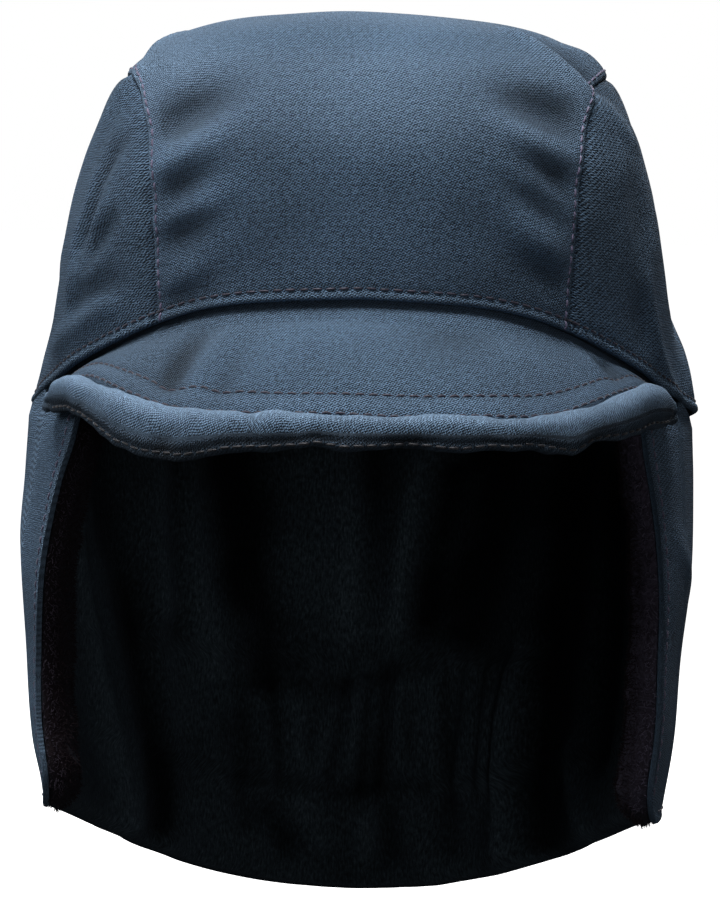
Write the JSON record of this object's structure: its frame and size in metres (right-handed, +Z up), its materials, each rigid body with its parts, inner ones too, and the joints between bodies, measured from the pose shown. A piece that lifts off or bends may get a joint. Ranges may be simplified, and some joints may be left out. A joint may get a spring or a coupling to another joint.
{
  "type": "pile-lined work cap with a short peak and an ear and neck flap",
  "caption": "Lined work cap: crown of a centre strip and two sides, short soft peak with a rolled rim, and a flap from temple to temple round the neck.",
  "frame": {"origin": "middle of the head opening, level with the temples", "axes": "+Z up out of the head opening through the crown, -Y ahead along the peak, +X to the viewer's right"},
  "size_m": [0.2, 0.269, 0.2766],
  "materials": {
    "twill": "fine matt twill with a soft sheen, navy",
    "pile": "short curled pile, near-black navy",
    "thread": "spun polyester sewing thread"
  },
  "bodies": {
    "root": {"crown_centre_panel": "twill", "crown_side_panel_left": "twill", "crown_side_panel_right": "twill", "crown_lining": "pile", "peak_panel": "twill", "peak_rim": "twill", "flap_shell": "twill", "flap_lining": "pile"}
  },
  "joints": []
}
